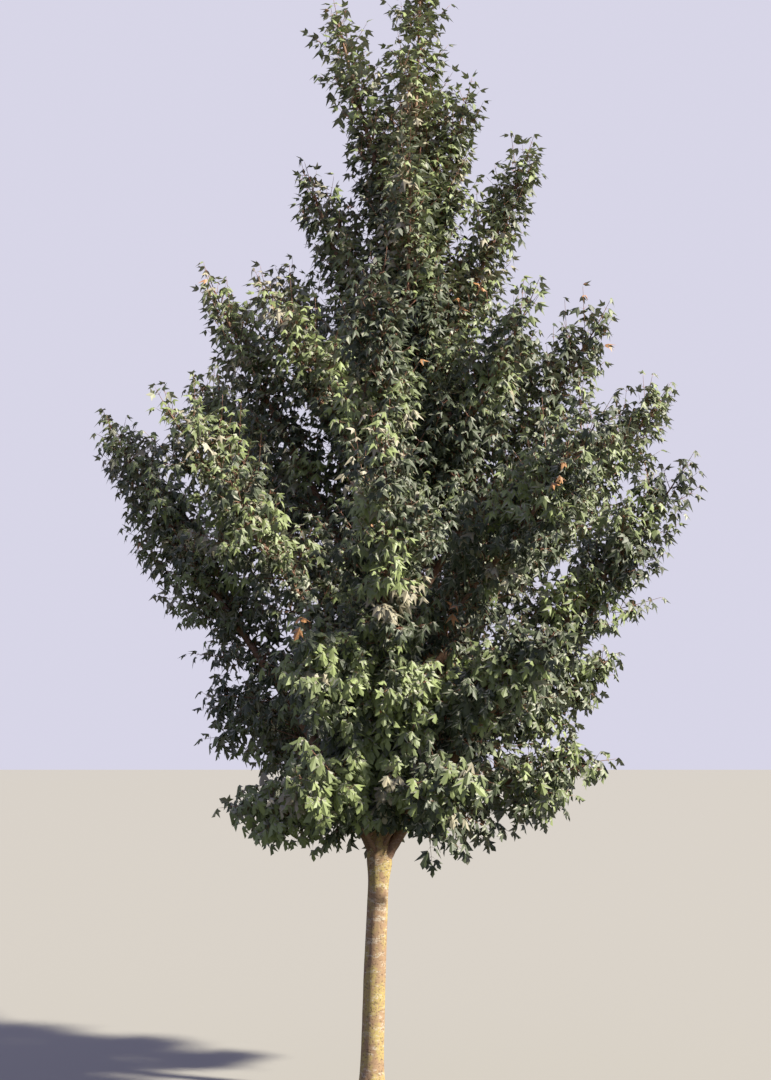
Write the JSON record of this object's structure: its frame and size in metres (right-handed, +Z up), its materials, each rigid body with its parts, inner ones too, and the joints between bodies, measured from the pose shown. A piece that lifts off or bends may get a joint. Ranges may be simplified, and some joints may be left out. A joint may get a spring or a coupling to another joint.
{
  "type": "young freeman maple tree",
  "caption": "Young freeman maple in full leaf: one slim trunk with a root flare, boughs that sweep upwards, and a pointed oval crown of leafy plumes.",
  "frame": {"origin": "middle of the trunk's flat cut at ground level", "axes": "+Z up, +X to the right and +Y away from the viewer as the picture shows the tree"},
  "size_m": [3.4208, 3.226, 6.3841],
  "materials": {
    "bark": "rough grey-tan bark",
    "young_bark": "smooth brown bark",
    "leaf_mid_green": "leaf, green above and pale below",
    "leaf_green": "leaf, green above and pale below",
    "leaf_deep_green": "leaf, green above and pale below",
    "leaf_light_green": "leaf, green above and pale below"
  },
  "bodies": {
    "root": {"bough_low_back": "young_bark", "bough_low_front_left": "young_bark", "bough_low_front_right": "young_bark", "bough_low_left": "young_bark", "bough_low_right": "young_bark", "bough_lower_back_left": "young_bark", "bough_lower_back_right": "young_bark", "bough_lower_front_left": "young_bark", "bough_lower_front_right": "young_bark", "bough_lower_left": "young_bark", "bough_lower_right": "young_bark", "bough_sweep_back": "young_bark", "bough_sweep_back_left": "young_bark", "bough_sweep_back_right": "young_bark", "bough_sweep_front": "young_bark", "bough_sweep_front_left": "young_bark", "bough_sweep_front_right": "young_bark", "bough_sweep_left": "young_bark", "bough_sweep_outer_right": "young_bark", "bough_sweep_right": "young_bark", "bough_upper_front": "young_bark", "bough_upper_left": "young_bark", "bough_upper_right": "young_bark", "leaves_crest_back": "leaf_deep_green", "leaves_crest_left": "leaf_mid_green", "leaves_crest_right": "leaf_green", "leaves_leader": "leaf_light_green", "leaves_low_back": "leaf_mid_green", "leaves_low_front_left": "leaf_mid_green", "leaves_low_front_right": "leaf_green", "leaves_low_left": "leaf_light_green", "leaves_low_right": "leaf_deep_green", "leaves_lower_back_left": "leaf_green", "leaves_lower_back_right": "leaf_deep_green", "leaves_lower_front_left": "leaf_light_green", "leaves_lower_front_right": "leaf_mid_green", "leaves_lower_left": "leaf_deep_green", "leaves_lower_right": "leaf_green", "leaves_sweep_back": "leaf_deep_green", "leaves_sweep_back_left": "leaf_deep_green", "leaves_sweep_back_right": "leaf_light_green", "leaves_sweep_front": "leaf_green", "leaves_sweep_front_left": "leaf_mid_green", "leaves_sweep_front_right": "leaf_green", "leaves_sweep_left": "leaf_mid_green", "leaves_sweep_outer_right": "leaf_light_green", "leaves_sweep_right": "leaf_light_green", "leaves_top_back": "leaf_light_green", "leaves_top_front": "leaf_deep_green", "leaves_top_left": "leaf_green", "leaves_top_right": "leaf_mid_green", "leaves_upper_back": "leaf_light_green", "leaves_upper_back_left": "leaf_light_green", "leaves_upper_back_right": "leaf_green", "leaves_upper_front": "leaf_deep_green", "leaves_upper_front_left": "leaf_deep_green", "leaves_upper_front_right": "leaf_mid_green", "leaves_upper_left": "leaf_mid_green", "leaves_upper_right": "leaf_green", "trunk": "bark"}
  },
  "joints": []
}
